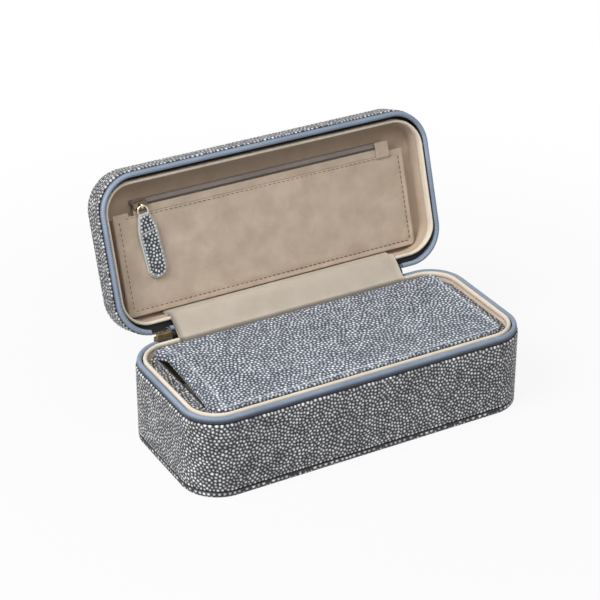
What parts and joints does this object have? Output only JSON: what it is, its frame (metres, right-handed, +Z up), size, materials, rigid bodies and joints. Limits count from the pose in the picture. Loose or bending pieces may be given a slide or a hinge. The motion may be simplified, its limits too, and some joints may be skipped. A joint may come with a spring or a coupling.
{
  "type": "watch and jewellery box",
  "caption": "Rounded zip-round travel box with an open hinged lid, a zip pocket inside the lid and a lift-out watch case under a padded flap.",
  "frame": {"origin": "middle of the sole, on the surface that the box stands on", "axes": "+X along the box's length to the right, +Y from the front to the hinge, +Z up"},
  "size_m": [0.19, 0.1259, 0.127],
  "materials": {
    "shagreen": "pebbled satin",
    "board": "grey board",
    "lining": "suede",
    "lip": "suede",
    "zip_tape": "woven",
    "zip_coil": "satin",
    "pocket_tape": "woven",
    "pocket_coil": "satin",
    "hardware": "pale polished",
    "cushion": "suede",
    "padding": "foam"
  },
  "bodies": {
    "base": {"base_sole": "shagreen", "base_cover": "shagreen", "base_board": "board", "base_liner": "lining", "base_lip": "lip", "base_zip_tape": "zip_tape", "base_zip_coil": "zip_coil", "hinge_spine": "shagreen", "hinge_gusset": "lip"},
    "lid": {"lid_cover": "shagreen", "lid_board": "board", "lid_liner": "lining", "lid_lip": "lip", "lid_zip_tape": "zip_tape", "lid_zip_coil": "zip_coil", "pocket_panel": "lining", "pocket_zip_lower_tape": "pocket_tape", "pocket_zip_upper_tape": "pocket_tape", "pocket_zip_coil": "pocket_coil", "pocket_end_tab": "lining"},
    "pocket_slider": {"pocket_slider": "hardware"},
    "pocket_pull": {"pocket_pull_ring": "hardware", "pocket_pull_tab": "shagreen"},
    "main_slider": {"main_slider": "hardware"},
    "main_pull": {"main_pull_ring": "hardware", "main_pull_tab": "shagreen"},
    "watch_case": {"insert_cover": "shagreen", "insert_board": "board", "insert_liner": "lining", "insert_divider_1": "lining", "insert_divider_2": "lining", "watch_cushion_1": "cushion", "watch_cushion_2": "cushion", "watch_cushion_3": "cushion", "flap_fold": "shagreen"},
    "flap": {"flap_cover": "shagreen", "flap_padding": "padding", "flap_board": "board", "flap_liner": "lining"}
  },
  "joints": [
    {"name": "lid_hinge", "type": "hinge", "parent": "base", "child": "lid", "pos_m": [0, 0.042, 0.0468], "axis": [-1, 0, 0], "range_deg": [-107.8, 0], "deforming": ["hinge_spine", "hinge_gusset"]},
    {"name": "pocket_zip", "type": "slide", "parent": "lid", "child": "pocket_slider", "axis": [1, 0, 0], "range_m": [0, 0.133]},
    {"name": "pocket_pull_swing", "type": "hinge", "parent": "pocket_slider", "child": "pocket_pull", "pos_m": [-0.0695, 0.06824, 0.10612], "axis": [-1, 0, 0], "range_deg": [0, 150]},
    {"name": "main_zip_corner", "type": "hinge", "parent": "base", "child": "main_slider", "pos_m": [-0.075, 0.022, 0.0405], "axis": [0, 0, 1], "range_deg": [0, 90]},
    {"name": "main_pull_swing", "type": "hinge", "parent": "main_slider", "child": "main_pull", "pos_m": [-0.0732, 0.0437, 0.0429], "axis": [1, 0, 0], "range_deg": [0, 60]},
    {"name": "watch_case_lift", "type": "slide", "parent": "base", "child": "watch_case", "axis": [0, 0, 1], "range_m": [0, 0.06]},
    {"name": "flap_hinge", "type": "hinge", "parent": "watch_case", "child": "flap", "pos_m": [0, -0.0352, 0.045], "axis": [1, 0, 0], "range_deg": [0, 135]}
  ]
}
